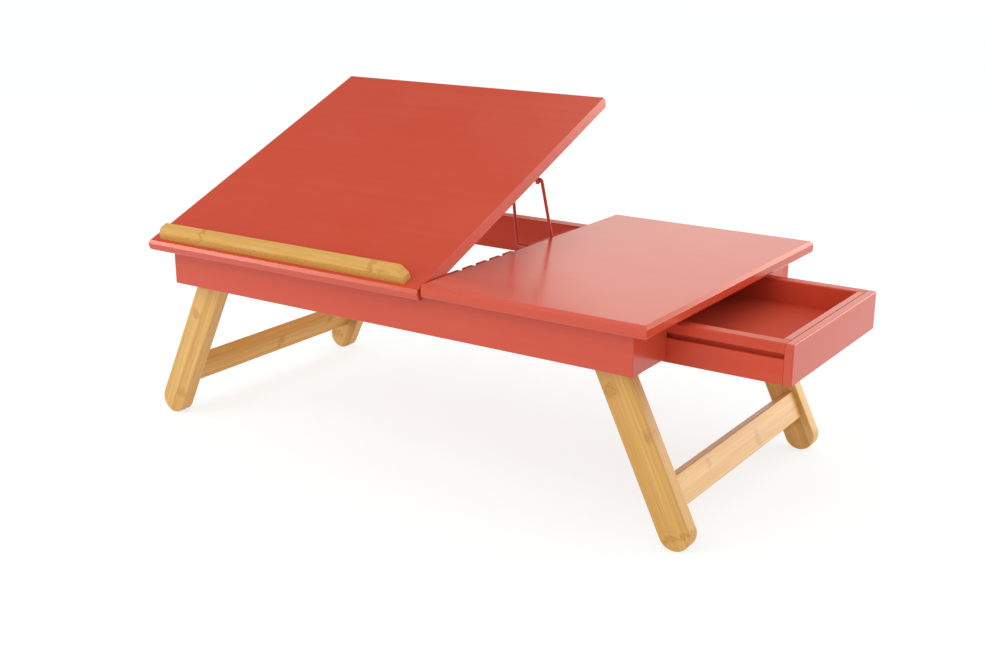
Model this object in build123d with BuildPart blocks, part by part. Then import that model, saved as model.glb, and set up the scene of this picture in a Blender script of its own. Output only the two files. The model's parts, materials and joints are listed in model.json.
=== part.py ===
from build123d import *
from math import cos, radians, sin, tan
import os

# Folding laptop table: a tray on two folding leg frames. The left part of the top tilts up on
# hinges along the front and stands on a wire prop, the right part is fixed over a drawer.
# Millimetres. X runs along the front, Y to the back, Z up; the origin is on the floor under
# the middle of the top. The pose is: panel tilted, prop in its notch, drawer out, legs open.

# Table top
TOP_LENGTH = 550.0
TOP_DEPTH = 344.0
TOP_HEIGHT = 198.0
TOP_T = 12.0
TOP_BEVEL = 2.6
TOP_BEVEL_DROP = 3.0
TOP_CREASE_R = 0.5
TOP_UNDER_R = 3.5
SEAM_EDGE_R = 0.4
FIXED_LENGTH = 216.8
SEAM_GAP = 2.0
REST_GAP = 0.3

# Apron rails under the top
OVERHANG_END = 18.2
OVERHANG_SIDE = 14.0
RAIL_H = 37.3
RAIL_T = 15.0
END_T = 14.0
RAIL_EDGE_R = 1.0
CROSS_T = 12.0
CROSS_H = 30.0
CROSS_SETBACK = 1.5

# Tilting panel and its hinges
TILT = 22.5
HINGE_SETBACK = 12.0
HINGE_LENGTH = 50.0
HINGE_END_GAP = 45.0
KNUCKLE_R = 2.2
KNUCKLE_MIDDLE = 18.0
KNUCKLE_PLAY = 0.3
KNUCKLE_ROOM = 0.5
HINGE_PIN_R = 1.0
LEAF_T = 1.2
LEAF_W = 13.0
LEAF_SCREW_PITCH = 34.0
LEAF_SCREW_SETBACK = 8.0

# Laptop stop on the panel
STOP_LEFT_GAP = 13.7
STOP_RIGHT_GAP = 17.2
STOP_SETBACK = 6.6
STOP_DEPTH = 10.2
STOP_H = 13.0
STOP_FRONT_H = 6.0
STOP_LEAN = 2.2
STOP_BEVEL_LEFT = 4.2
STOP_BEVEL_RIGHT = 6.8
STOP_SCREW_INSET = 16.0
STOP_SCREW_GRIP = 8.0

# Wire prop, its rack and its hooks
WIRE_R = 1.6
WIRE_BEND_R = 2.6
PROP_FOOT_WIDTH = 42.8
PROP_LEAN = 13.4
PROP_TAPER = 3.15
PROP_PIN = 6.0
RACK_FROM_SEAM = 24.4
RACK_W = 21.4
RACK_H = 16.0
RACK_DROP = 2.0
RACK_PITCH = 22.5
RACK_NOTCHES = 6
RACK_USED_FROM_BACK = 93.2
NOTCH_SEAT_DROP = 0.5
NOTCH_LENGTH = 8.0
NOTCH_SLOPE = 1.2
HOOK_DROP = 9.5
HOOK_T = 1.5
HOOK_W = 3.2
HOOK_FLANGE = 15.0
HOOK_FLANGE_W = 8.0
HOOK_LIP = 4.6
HOOK_PLAY = 0.4
HOOK_PIN_OVERHANG = 0.5

# Drawer
DRAWER_H = 34.3
DRAWER_TOP_GAP = 5.6
DRAWER_SIDE_T = 12.0
DRAWER_FRONT_T = 14.0
DRAWER_FRONT_LAP = 7.4
DRAWER_BACK_T = 12.0
DRAWER_FLOOR_T = 4.0
DRAWER_DEPTH = 21.5
DRAWER_FLOOR_TONGUE = 4.0
DRAWER_EDGE_R = 1.2
DRAWER_JOINT_R = 0.4
DRAWER_KEPT_IN = 75.2
DRAWER_SIDE_GAP = 0.5
DRAWER_BACK_GAP = 0.5
END_FRONT_WIDTH = 58.0
END_REAR_WIDTH = 65.5
GROOVE_H = 5.0
GROOVE_DEPTH = 6.0
GROOVE_DROP = 8.5
RUNNER_PLAY = 0.3
RUNNER_TIP_GAP = 0.5
GUIDE_T = 12.0
GUIDE_H = 34.0
GUIDE_GAP = 1.0
CATCH_T = 10.0
CATCH_WIDTH = 60.0
CATCH_OVERLAP = 4.0
CATCH_FROM_END = 20.0
CATCH_SCREW_PITCH = 36.0

# Folding leg frames
LEG_W = 29.5
LEG_T = 14.0
LEG_EDGE_R = 1.2
SPLAY = 25.75
PIVOT_UP = 15.0
LEG_GAP = 1.5
LEG_STOP_GAP = 0.3
STRETCHER_W = 26.4
STRETCHER_T = 13.0
STRETCHER_INSET = 4.5
STRETCHER_UP = 32.0
STRETCHER_EDGE_R = 1.2

# Fasteners
PIVOT_R = 3.0
PIVOT_PLAY = 0.06
PIVOT_HEAD_R = 6.5
PIVOT_HEAD_T = 3.0
PIVOT_SOCKET_R = 2.6
PIVOT_SOCKET_DEPTH = 1.8
PIVOT_GRIP = 10.0
INSERT_R = 5.0
WASHER_R = 8.0
WASHER_T = 1.2
DOWEL_R = 3.0
DOWEL_GRIP = 9.0
TOP_DOWEL_GRIP = 7.0
DRAWER_DOWEL_GRIP = 8.0
LAP_DOWEL_GRIP = 4.5
SCREW_R = 2.0
SCREW_HEAD_R = 3.8
SCREW_HEAD_T = 2.4
SCREW_GRIP = 8.0
SMALL_SCREW_R = 1.4
SMALL_SCREW_HEAD_R = 2.6
SMALL_SCREW_HEAD_T = 1.2
SMALL_SCREW_LENGTH = 9.0
FIT = 0.03
PIN_FIT = 0.05

# Levels and faces worked out from the sizes above
TOP_UNDER = TOP_HEIGHT - TOP_T
RAIL_BOTTOM = TOP_UNDER - RAIL_H
APRON_X = TOP_LENGTH / 2 - OVERHANG_END
APRON_Y = TOP_DEPTH / 2 - OVERHANG_SIDE
RAIL_IN = APRON_Y - RAIL_T
END_IN = APRON_X - END_T
SEAM_X = TOP_LENGTH / 2 - FIXED_LENGTH
PANEL_LEFT = -TOP_LENGTH / 2
PANEL_RIGHT = SEAM_X - SEAM_GAP
PANEL_T = TOP_T - REST_GAP
CROSS_LEFT = SEAM_X + CROSS_SETBACK
CROSS_RIGHT = CROSS_LEFT + CROSS_T
CROSS_BOTTOM = TOP_UNDER - CROSS_H

# The hinge axis runs along X under the front edge of the panel, level with its underside.
# On the panel's own plane x is the table's X, y runs back from the axis, z out of the top face.
HINGE_Y = -TOP_DEPTH / 2 + HINGE_SETBACK
HINGE_Z = TOP_UNDER + REST_GAP
PANEL_FRONT = -HINGE_SETBACK
PANEL = Plane(
    origin=(0, HINGE_Y, HINGE_Z),
    x_dir=(1, 0, 0),
    z_dir=(0, -sin(radians(TILT)), cos(radians(TILT))),
)
HINGES = {
    "left": PANEL_LEFT + HINGE_END_GAP + HINGE_LENGTH / 2,
    "right": PANEL_RIGHT - HINGE_END_GAP - HINGE_LENGTH / 2,
}

# The prop stands in the rack's rearmost notch, with its foot wire in the round of the seat.
RACK_X = SEAM_X - RACK_FROM_SEAM
RACK_TOP = TOP_UNDER - RACK_DROP
FOOT_Y = RAIL_IN - RACK_USED_FROM_BACK
FOOT_Z = RACK_TOP - NOTCH_SEAT_DROP
FOOT_UNDER_PANEL = (FOOT_Y - HINGE_Y) * sin(radians(TILT)) - (FOOT_Z - HINGE_Z) * cos(radians(TILT))
PROP_LENGTH = (FOOT_UNDER_PANEL - HOOK_DROP) / cos(radians(TILT - PROP_LEAN))
PROP_TOP_WIDTH = PROP_FOOT_WIDTH - 2 * PROP_LENGTH * tan(radians(PROP_TAPER))
PIN_Y = FOOT_Y - PROP_LENGTH * sin(radians(PROP_LEAN))
PIN_Z = FOOT_Z + PROP_LENGTH * cos(radians(PROP_LEAN))
PIN_BACK = (PIN_Y - HINGE_Y) * cos(radians(TILT)) + (PIN_Z - HINGE_Z) * sin(radians(TILT))

# Drawer and its compartment, between the cross rail and the right end
MOUTH_Y0 = -APRON_Y + END_FRONT_WIDTH
MOUTH_Y1 = APRON_Y - END_REAR_WIDTH
DRAWER_Y0 = MOUTH_Y0 + DRAWER_SIDE_GAP
DRAWER_Y1 = MOUTH_Y1 - DRAWER_SIDE_GAP
DRAWER_TOP = TOP_UNDER - DRAWER_TOP_GAP
DRAWER_BOTTOM = DRAWER_TOP - DRAWER_H
DRAWER_FLOOR = DRAWER_TOP - DRAWER_DEPTH
DRAWER_LENGTH = APRON_X - CROSS_RIGHT - DRAWER_BACK_GAP
DRAWER_X0 = APRON_X - DRAWER_KEPT_IN
DRAWER_X1 = DRAWER_X0 + DRAWER_LENGTH
GROOVE_TOP = DRAWER_TOP - GROOVE_DROP
GROOVE_BOTTOM = GROOVE_TOP - GROOVE_H
GUIDE_BOTTOM = TOP_UNDER - GUIDE_H

# Leg frames: each leg turns on a pivot inside the apron and, open, leans on the end rail
PIVOT_Z = RAIL_BOTTOM + PIVOT_UP
PIVOT_X = END_IN - LEG_STOP_GAP - LEG_W / 2 / cos(radians(SPLAY)) - PIVOT_UP * tan(radians(SPLAY))
LEG_REACH = (PIVOT_Z - LEG_W / 2) / cos(radians(SPLAY))
LEG_OUT = RAIL_IN - LEG_GAP
LEG_IN = LEG_OUT - LEG_T
STRETCHER_END = LEG_REACH + LEG_W / 2 - STRETCHER_UP
STRETCHER_START = STRETCHER_END - STRETCHER_W
STRETCHER_OUTER = LEG_W / 2 - STRETCHER_INSET
STRETCHER_INNER = STRETCHER_OUTER - STRETCHER_T

ON_TOP = (Align.CENTER, Align.CENTER, Align.MIN)
HANGING = (Align.CENTER, Align.CENTER, Align.MAX)


def block(low, high, mode=Mode.ADD):
    """Box between two opposite corners, in the part being built."""
    with Locations(low):
        size = [b - a for a, b in zip(low, high)]
        Box(*size, align=(Align.MIN, Align.MIN, Align.MIN), mode=mode)


def rod(start, end, radius, mode=Mode.ADD):
    """Round bar from one point to another, in the part being built."""
    run = Vector(*end) - Vector(*start)
    with Locations(Plane(origin=start, z_dir=run)):
        Cylinder(radius, run.length, align=ON_TOP, mode=mode)


def screw(head_plane, radius, head_radius, head_t, length, play=0.0, mode=Mode.ADD):
    """Countersunk screw whose head is flush with a plane that faces out of the wood."""
    with Locations(head_plane):
        Cylinder(radius + play, length, align=HANGING, mode=mode)
        Cone(radius + play, head_radius + play, head_t, align=HANGING, mode=mode)


def small_screw(head_plane, play=0.0, mode=Mode.ADD):
    """Short screw for hinge leaves and hooks."""
    screw(head_plane, SMALL_SCREW_R, SMALL_SCREW_HEAD_R, SMALL_SCREW_HEAD_T, SMALL_SCREW_LENGTH, play, mode)


def panel_plane(x, back, out=0.0, facing=1):
    """Plane on the tilted panel, facing out of its top face (1) or its underside (-1)."""
    return Plane(origin=PANEL.from_local_coords((x, back, out)), x_dir=(1, 0, 0), z_dir=PANEL.z_dir * facing)


def moulded_board(length, thickness):
    """Level board of the top lying on z = 0: moulded all round, then cut square at the seam on x = 0."""
    with BuildPart() as board:
        Box(2 * length, TOP_DEPTH, thickness, align=ON_TOP)
        top = board.faces().sort_by(Axis.Z)[-1]
        chamfer(top.edges(), TOP_BEVEL, TOP_BEVEL_DROP, reference=top)
        under = board.faces().sort_by(Axis.Z)[0]
        fillet(under.edges(), TOP_UNDER_R)
        arrises = board.edges().filter_by_position(Axis.Z, TOP_UNDER_R, thickness)
        corners = [edge for edge in arrises if edge.length < thickness]
        crease = thickness - TOP_BEVEL_DROP
        creases = board.edges().filter_by_position(Axis.Z, crease - FIT, crease + FIT)
        fillet(corners + list(creases), TOP_CREASE_R)
        split(bisect_by=Plane.YZ, keep=Keep.TOP)
        seam = board.faces().sort_by(Axis.X)[0]
        fillet(seam.edges().sort_by(SortBy.LENGTH)[-2:], SEAM_EDGE_R)
    return board.part


def break_edges(part_builder, axis, radius):
    """Round the long edges of a board that run along an axis."""
    fillet(part_builder.edges().filter_by(axis), radius)


# Where dowels join the frame: each runs from the rail into the end of the board it meets
END_MID = (APRON_X + END_IN) / 2
CROSS_MID = (CROSS_LEFT + CROSS_RIGHT) / 2
RAIL_QUARTERS = (RAIL_BOTTOM + RAIL_H / 4, TOP_UNDER - RAIL_H / 4)
CROSS_QUARTERS = (CROSS_BOTTOM + CROSS_H / 4, TOP_UNDER - CROSS_H / 4)
dowel_points = [(x, z) for x in (-END_MID, END_MID) for z in RAIL_QUARTERS]
dowel_points += [(CROSS_MID, z) for z in CROSS_QUARTERS]
dowel_points += [(RACK_X, RACK_TOP - RACK_H / 2)]
frame_dowel_runs = []
for x, z in dowel_points:
    for side in (-1, 1):
        outer = side * (RAIL_IN + DOWEL_GRIP)
        inner = side * (RAIL_IN - DOWEL_GRIP)
        frame_dowel_runs.append(((x, outer, z), (x, inner, z)))

# Dowels that stand in the rails and reach up into the fixed top
RAIL_MID = (APRON_Y + RAIL_IN) / 2
TOP_DOWEL_XS = (SEAM_X + FIXED_LENGTH / 4, APRON_X - FIXED_LENGTH / 4)
top_dowel_runs = []
for x in TOP_DOWEL_XS:
    for y in (-RAIL_MID, RAIL_MID):
        top_dowel_runs.append(((x, y, TOP_UNDER - DOWEL_GRIP), (x, y, TOP_UNDER + TOP_DOWEL_GRIP)))

# Screws driven up through the cross rail and the drawer guides into the fixed top
GUIDE_FRONT_Y0 = DRAWER_Y0 - GUIDE_GAP - GUIDE_T
GUIDE_REAR_Y0 = DRAWER_Y1 + GUIDE_GAP
GUIDE_SCREW_XS = (CROSS_RIGHT + (END_IN - CROSS_RIGHT) / 4, END_IN - (END_IN - CROSS_RIGHT) / 4)
top_screw_planes = []
for y in (-RAIL_IN / 2, RAIL_IN / 2):
    top_screw_planes.append((Plane(origin=(CROSS_MID, y, CROSS_BOTTOM), z_dir=(0, 0, -1)), CROSS_H))
for y in (GUIDE_FRONT_Y0 + GUIDE_T / 2, GUIDE_REAR_Y0 + GUIDE_T / 2):
    for x in GUIDE_SCREW_XS:
        top_screw_planes.append((Plane(origin=(x, y, GUIDE_BOTTOM), z_dir=(0, 0, -1)), GUIDE_H))

# Screws of the catch that keeps the drawer in
CATCH_X1 = END_IN - CATCH_FROM_END + CATCH_T
CATCH_X0 = CATCH_X1 - CATCH_T
CATCH_BOTTOM = DRAWER_TOP - CATCH_OVERLAP
CATCH_Y = (DRAWER_Y0 + DRAWER_Y1) / 2
catch_screw_planes = []
for side in (-1, 1):
    head = (CATCH_X0 + CATCH_T / 2, CATCH_Y + side * CATCH_SCREW_PITCH / 2, CATCH_BOTTOM)
    catch_screw_planes.append(Plane(origin=head, z_dir=(0, 0, -1)))
CATCH_H = TOP_UNDER - CATCH_BOTTOM

# Hinge screws, two to a leaf, in the rail's top edge and in the panel's underside
rail_leaf_screw_planes = []
panel_leaf_screw_planes = []
for hinge_x in HINGES.values():
    for side in (-1, 1):
        x = hinge_x + side * LEAF_SCREW_PITCH / 2
        rail_leaf_screw_planes.append(Plane(origin=(x, HINGE_Y + LEAF_SCREW_SETBACK, TOP_UNDER)))
        panel_leaf_screw_planes.append(panel_plane(x, LEAF_SCREW_SETBACK, facing=-1))

# Leg pivots: the four screws, each with its side along X and along Y
pivots = [(side_x, side_y) for side_x in (-1, 1) for side_y in (-1, 1)]


def pivot_point(side_x, side_y, inset):
    """Point on a leg pivot's axis, a distance in from the rail's inner face."""
    return (side_x * PIVOT_X, side_y * (RAIL_IN - inset), PIVOT_Z)


# Front and back rails, with dowel holes, pivot inserts and, in front, the hinge mortises
rails = {}
for name, side in (("front_rail", -1), ("back_rail", 1)):
    outer, inner = side * APRON_Y, side * RAIL_IN
    with BuildPart() as rail:
        block((-APRON_X, min(outer, inner), RAIL_BOTTOM), (APRON_X, max(outer, inner), TOP_UNDER))
        corners = rail.faces().sort_by(Axis.Y)[0 if side < 0 else -1].edges().filter_by(Axis.Z)
        fillet(rail.edges().filter_by(Axis.X) + corners, RAIL_EDGE_R)
        for start, end in frame_dowel_runs + top_dowel_runs:
            rod(start, end, DOWEL_R + FIT, Mode.SUBTRACT)
        for side_x in (-1, 1):
            insert_end = pivot_point(side_x, side, -PIVOT_GRIP)
            rod(pivot_point(side_x, side, 0), insert_end, INSERT_R + FIT, Mode.SUBTRACT)
        if side < 0:
            for hinge_x in HINGES.values():
                x0, x1 = hinge_x - HINGE_LENGTH / 2, hinge_x + HINGE_LENGTH / 2
                block((x0, HINGE_Y, TOP_UNDER - LEAF_T), (x1, HINGE_Y + LEAF_W, TOP_UNDER), Mode.SUBTRACT)
                start = (x0 - KNUCKLE_ROOM, HINGE_Y, HINGE_Z)
                end = (x1 + KNUCKLE_ROOM, HINGE_Y, HINGE_Z)
                rod(start, end, KNUCKLE_R + KNUCKLE_ROOM, Mode.SUBTRACT)
            for plane in rail_leaf_screw_planes:
                small_screw(plane, FIT, Mode.SUBTRACT)
    rails[name] = rail

# Left end rail, between the front and back rails
with BuildPart() as left_rail:
    block((-APRON_X, -RAIL_IN, RAIL_BOTTOM), (-END_IN, RAIL_IN, TOP_UNDER))
    break_edges(left_rail, Axis.Y, RAIL_EDGE_R)
    for start, end in frame_dowel_runs:
        rod(start, end, DOWEL_R + FIT, Mode.SUBTRACT)

# Right end, in two boards with the drawer's mouth between them
right_ends = {}
for name, y0, y1 in (("right_end_front", -RAIL_IN, MOUTH_Y0), ("right_end_rear", MOUTH_Y1, RAIL_IN)):
    with BuildPart() as end_board:
        block((END_IN, y0, RAIL_BOTTOM), (APRON_X, y1, TOP_UNDER))
        break_edges(end_board, Axis.Y, RAIL_EDGE_R)
        for start, end in frame_dowel_runs:
            rod(start, end, DOWEL_R + FIT, Mode.SUBTRACT)
    right_ends[name] = end_board

# Cross rail under the left edge of the fixed top, which also ends the drawer's compartment
with BuildPart() as cross_rail:
    block((CROSS_LEFT, -RAIL_IN, CROSS_BOTTOM), (CROSS_RIGHT, RAIL_IN, TOP_UNDER))
    for start, end in frame_dowel_runs:
        rod(start, end, DOWEL_R + FIT, Mode.SUBTRACT)
    for plane, height in top_screw_planes:
        screw(plane, SCREW_R, SCREW_HEAD_R, SCREW_HEAD_T, height + SCREW_GRIP, FIT, Mode.SUBTRACT)

# Notched rack for the foot of the prop: flat notches, each with a round seat at its back
NOTCH_R = WIRE_R + PIN_FIT
with BuildPart() as prop_rack:
    block(
        (RACK_X - RACK_W / 2, -RAIL_IN, RACK_TOP - RACK_H),
        (RACK_X + RACK_W / 2, RAIL_IN, RACK_TOP),
    )
    with BuildSketch(Plane.YZ.offset(RACK_X - RACK_W / 2)):
        for notch in range(RACK_NOTCHES):
            seat_y = FOOT_Y - notch * RACK_PITCH
            with Locations((seat_y, FOOT_Z)):
                Circle(NOTCH_R)
            with BuildLine():
                Polyline(
                    (seat_y, FOOT_Z - NOTCH_R),
                    (seat_y + NOTCH_R, FOOT_Z),
                    (seat_y + NOTCH_R, RACK_TOP),
                    (seat_y + NOTCH_R - NOTCH_LENGTH, RACK_TOP),
                    (seat_y + NOTCH_R - NOTCH_LENGTH + NOTCH_SLOPE, FOOT_Z - NOTCH_R),
                    close=True,
                )
            make_face()
    extrude(amount=RACK_W, mode=Mode.SUBTRACT)
    for start, end in frame_dowel_runs:
        rod(start, end, DOWEL_R + FIT, Mode.SUBTRACT)

# Fixed part of the top, over the drawer
fixed_board = moulded_board(FIXED_LENGTH, TOP_T)
with BuildPart() as fixed_top:
    with Locations((SEAM_X, 0, TOP_UNDER)):
        add(fixed_board)
    for start, end in top_dowel_runs:
        rod(start, end, DOWEL_R + FIT, Mode.SUBTRACT)
    for plane, height in top_screw_planes:
        screw(plane, SCREW_R, SCREW_HEAD_R, SCREW_HEAD_T, height + SCREW_GRIP, FIT, Mode.SUBTRACT)
    for plane in catch_screw_planes:
        screw(plane, SCREW_R, SCREW_HEAD_R, SCREW_HEAD_T, CATCH_H + SCREW_GRIP, FIT, Mode.SUBTRACT)

# Drawer guides hung under the fixed top, each with a runner strip in the drawer's side groove
RUNNER_BOTTOM = GROOVE_BOTTOM + RUNNER_PLAY
RUNNER_TOP = GROOVE_TOP - RUNNER_PLAY
guides = {}
runners = {}
for end_name, guide_y0, drawer_y, inward in (
    ("front", GUIDE_FRONT_Y0, DRAWER_Y0, 1),
    ("rear", GUIDE_REAR_Y0, DRAWER_Y1, -1),
):
    with BuildPart() as guide:
        block((CROSS_RIGHT, guide_y0, GUIDE_BOTTOM), (END_IN, guide_y0 + GUIDE_T, TOP_UNDER))
        for plane, height in top_screw_planes:
            screw(plane, SCREW_R, SCREW_HEAD_R, SCREW_HEAD_T, height + SCREW_GRIP, FIT, Mode.SUBTRACT)
    guides["drawer_guide_" + end_name] = guide
    runner_seat = drawer_y - inward * GUIDE_GAP
    runner_tip = drawer_y + inward * (GROOVE_DEPTH - RUNNER_TIP_GAP)
    with BuildPart() as runner:
        block(
            (CROSS_RIGHT, min(runner_seat, runner_tip), RUNNER_BOTTOM),
            (END_IN, max(runner_seat, runner_tip), RUNNER_TOP),
        )
    runners["drawer_runner_" + end_name] = runner

# Catch under the fixed top, behind which the drawer's back board stops
with BuildPart() as drawer_catch:
    block(
        (CATCH_X0, CATCH_Y - CATCH_WIDTH / 2, CATCH_BOTTOM),
        (CATCH_X1, CATCH_Y + CATCH_WIDTH / 2, TOP_UNDER),
    )
    for plane in catch_screw_planes:
        screw(plane, SCREW_R, SCREW_HEAD_R, SCREW_HEAD_T, CATCH_H + SCREW_GRIP, FIT, Mode.SUBTRACT)

with BuildPart() as catch_screws:
    for plane in catch_screw_planes:
        screw(plane, SCREW_R, SCREW_HEAD_R, SCREW_HEAD_T, CATCH_H + SCREW_GRIP)

with BuildPart() as top_screws:
    for plane, height in top_screw_planes:
        screw(plane, SCREW_R, SCREW_HEAD_R, SCREW_HEAD_T, height + SCREW_GRIP)

with BuildPart() as frame_dowels:
    for start, end in frame_dowel_runs:
        rod(start, end, DOWEL_R)

with BuildPart() as top_dowels:
    for start, end in top_dowel_runs:
        rod(start, end, DOWEL_R)

# Butt hinges: a leaf let into the rail, a leaf let into the panel, and the pin through both
rail_leaves = {}
panel_leaves = {}
hinge_pins = {}
for end_name, hinge_x in HINGES.items():
    x0, x1 = hinge_x - HINGE_LENGTH / 2, hinge_x + HINGE_LENGTH / 2
    mid0, mid1 = hinge_x - KNUCKLE_MIDDLE / 2, hinge_x + KNUCKLE_MIDDLE / 2
    axis = {x: (x, HINGE_Y, HINGE_Z) for x in (x0, mid0, mid1, x1)}
    gap0, gap1 = (mid0 - KNUCKLE_PLAY, HINGE_Y, HINGE_Z), (mid1 + KNUCKLE_PLAY, HINGE_Y, HINGE_Z)
    with BuildPart() as rail_leaf:
        block((x0, HINGE_Y, TOP_UNDER - LEAF_T), (x1, HINGE_Y + LEAF_W, TOP_UNDER))
        rod(axis[x0], axis[x1], KNUCKLE_R)
        rod(gap0, gap1, KNUCKLE_R + KNUCKLE_PLAY, Mode.SUBTRACT)
        rod(axis[x0], axis[x1], HINGE_PIN_R + PIN_FIT, Mode.SUBTRACT)
        for plane in rail_leaf_screw_planes:
            small_screw(plane, FIT, Mode.SUBTRACT)
    rail_leaves["rail_hinge_leaf_" + end_name] = rail_leaf
    with BuildPart() as panel_leaf:
        with BuildSketch(PANEL):
            with Locations((hinge_x, LEAF_W / 2)):
                Rectangle(HINGE_LENGTH, LEAF_W)
        extrude(amount=LEAF_T)
        for start, end in ((axis[x0], gap0), (gap1, axis[x1])):
            rod(start, end, KNUCKLE_R + KNUCKLE_PLAY, Mode.SUBTRACT)
        rod(axis[mid0], axis[mid1], KNUCKLE_R)
        rod(axis[x0], axis[x1], HINGE_PIN_R + PIN_FIT, Mode.SUBTRACT)
        for plane in panel_leaf_screw_planes:
            small_screw(plane, FIT, Mode.SUBTRACT)
    panel_leaves["panel_hinge_leaf_" + end_name] = panel_leaf
    with BuildPart() as pin:
        rod(axis[x0], axis[x1], HINGE_PIN_R)
    hinge_pins["hinge_pin_" + end_name] = pin

with BuildPart() as rail_hinge_screws:
    for plane in rail_leaf_screw_planes:
        small_screw(plane)

with BuildPart() as panel_hinge_screws:
    for plane in panel_leaf_screw_planes:
        small_screw(plane)

# Screws that hold the laptop stop, driven up from the panel's underside
STOP_X0 = PANEL_LEFT + STOP_LEFT_GAP
STOP_X1 = PANEL_RIGHT - STOP_RIGHT_GAP
STOP_LENGTH = STOP_X1 - STOP_X0
STOP_FRONT = PANEL_FRONT + STOP_SETBACK
STOP_SCREW_LENGTH = PANEL_T + STOP_SCREW_GRIP
STOP_SCREW_XS = (STOP_X0 + STOP_SCREW_INSET, (STOP_X0 + STOP_X1) / 2, STOP_X1 - STOP_SCREW_INSET)
stop_screw_planes = [panel_plane(x, STOP_FRONT + STOP_DEPTH / 2, facing=-1) for x in STOP_SCREW_XS]

# Hooks under the panel: the pin ends of the prop's wires lie in them
HOOK_SIDES = {"left": -1, "right": 1}
HOOK_WALL = PIN_BACK - WIRE_R - HOOK_PLAY
HOOK_FLOOR = HOOK_DROP + WIRE_R + HOOK_PLAY


def hook_inner_x(side):
    """Where a hook's edge next to the rack is; the pin sticks out past it."""
    return RACK_X + side * (PROP_TOP_WIDTH / 2 - PROP_PIN + HOOK_PIN_OVERHANG)


hook_screw_planes = []
for side in HOOK_SIDES.values():
    screw_x = hook_inner_x(side) + side * HOOK_FLANGE_W / 2
    hook_screw_planes.append(panel_plane(screw_x, HOOK_WALL - HOOK_FLANGE / 2, -HOOK_T, facing=-1))

# Tilting part of the top
tilt_board = moulded_board(PANEL_RIGHT - PANEL_LEFT, PANEL_T)
seam_end = Location((PANEL_RIGHT, PANEL_FRONT + TOP_DEPTH / 2, 0), (0, 0, 180))
with BuildPart() as tilt_top:
    with Locations(PANEL.location * seam_end):
        add(tilt_board)
    with BuildSketch(PANEL):
        for hinge_x in HINGES.values():
            with Locations((hinge_x, LEAF_W / 2)):
                Rectangle(HINGE_LENGTH, LEAF_W)
    extrude(amount=LEAF_T, mode=Mode.SUBTRACT)
    for hinge_x in HINGES.values():
        reach = HINGE_LENGTH / 2 + KNUCKLE_ROOM
        start, end = (hinge_x - reach, HINGE_Y, HINGE_Z), (hinge_x + reach, HINGE_Y, HINGE_Z)
        rod(start, end, KNUCKLE_R + KNUCKLE_ROOM, Mode.SUBTRACT)
    for plane in panel_leaf_screw_planes + hook_screw_planes:
        small_screw(plane, FIT, Mode.SUBTRACT)
    for plane in stop_screw_planes:
        screw(plane, SCREW_R, SCREW_HEAD_R, SCREW_HEAD_T, STOP_SCREW_LENGTH, FIT, Mode.SUBTRACT)

# Laptop stop: a bar with a steep chamfer to the front and bevelled ends
STOP_SECTION = Plane(
    origin=PANEL.from_local_coords((STOP_X0, STOP_FRONT, PANEL_T)),
    x_dir=PANEL.y_dir,
    z_dir=(1, 0, 0),
)
STOP_SIDE = Plane(
    origin=PANEL.from_local_coords((STOP_X0, STOP_FRONT, PANEL_T)),
    x_dir=(1, 0, 0),
    z_dir=-PANEL.y_dir,
)
with BuildPart() as laptop_stop:
    with BuildSketch(STOP_SECTION):
        with BuildLine():
            Polyline(
                (0, 0),
                (0, STOP_FRONT_H),
                (STOP_LEAN, STOP_H),
                (STOP_DEPTH, STOP_H),
                (STOP_DEPTH, 0),
                close=True,
            )
        make_face()
    extrude(amount=STOP_LENGTH)
    with BuildSketch(STOP_SIDE):
        for end_x, bevel in ((0, STOP_BEVEL_LEFT), (STOP_LENGTH, -STOP_BEVEL_RIGHT)):
            with BuildLine():
                Polyline((end_x, STOP_FRONT_H), (end_x, STOP_H), (end_x + bevel, STOP_H), close=True)
            make_face()
    extrude(amount=-STOP_DEPTH, mode=Mode.SUBTRACT)
    for plane in stop_screw_planes:
        screw(plane, SCREW_R, SCREW_HEAD_R, SCREW_HEAD_T, STOP_SCREW_LENGTH, FIT, Mode.SUBTRACT)

with BuildPart() as laptop_stop_screws:
    for plane in stop_screw_planes:
        screw(plane, SCREW_R, SCREW_HEAD_R, SCREW_HEAD_T, STOP_SCREW_LENGTH)

# Each hook is a bent strip: a screwed flange, a wall down from it, a lip to the back under the pin
hooks = {}
for end_name, side in HOOK_SIDES.items():
    inner = hook_inner_x(side)
    with BuildPart() as hook:
        with BuildSketch(PANEL):
            with Locations((inner + side * HOOK_FLANGE_W / 2, HOOK_WALL - HOOK_FLANGE / 2)):
                Rectangle(HOOK_FLANGE_W, HOOK_FLANGE)
        extrude(amount=-HOOK_T)
        hook_edge = PANEL.from_local_coords((inner, 0, 0))
        with BuildSketch(Plane(origin=hook_edge, x_dir=PANEL.y_dir, z_dir=(1, 0, 0))):
            with BuildLine():
                Polyline(
                    (HOOK_WALL, 0),
                    (HOOK_WALL, -HOOK_FLOOR),
                    (HOOK_WALL + HOOK_LIP, -HOOK_FLOOR),
                    (HOOK_WALL + HOOK_LIP, -HOOK_FLOOR - HOOK_T),
                    (HOOK_WALL - HOOK_T, -HOOK_FLOOR - HOOK_T),
                    (HOOK_WALL - HOOK_T, 0),
                    close=True,
                )
            make_face()
        extrude(amount=side * HOOK_W)
        for plane in hook_screw_planes:
            small_screw(plane, FIT, Mode.SUBTRACT)
    hooks["prop_hook_" + end_name] = hook

with BuildPart() as prop_hook_screws:
    for plane in hook_screw_planes:
        small_screw(plane)

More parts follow.
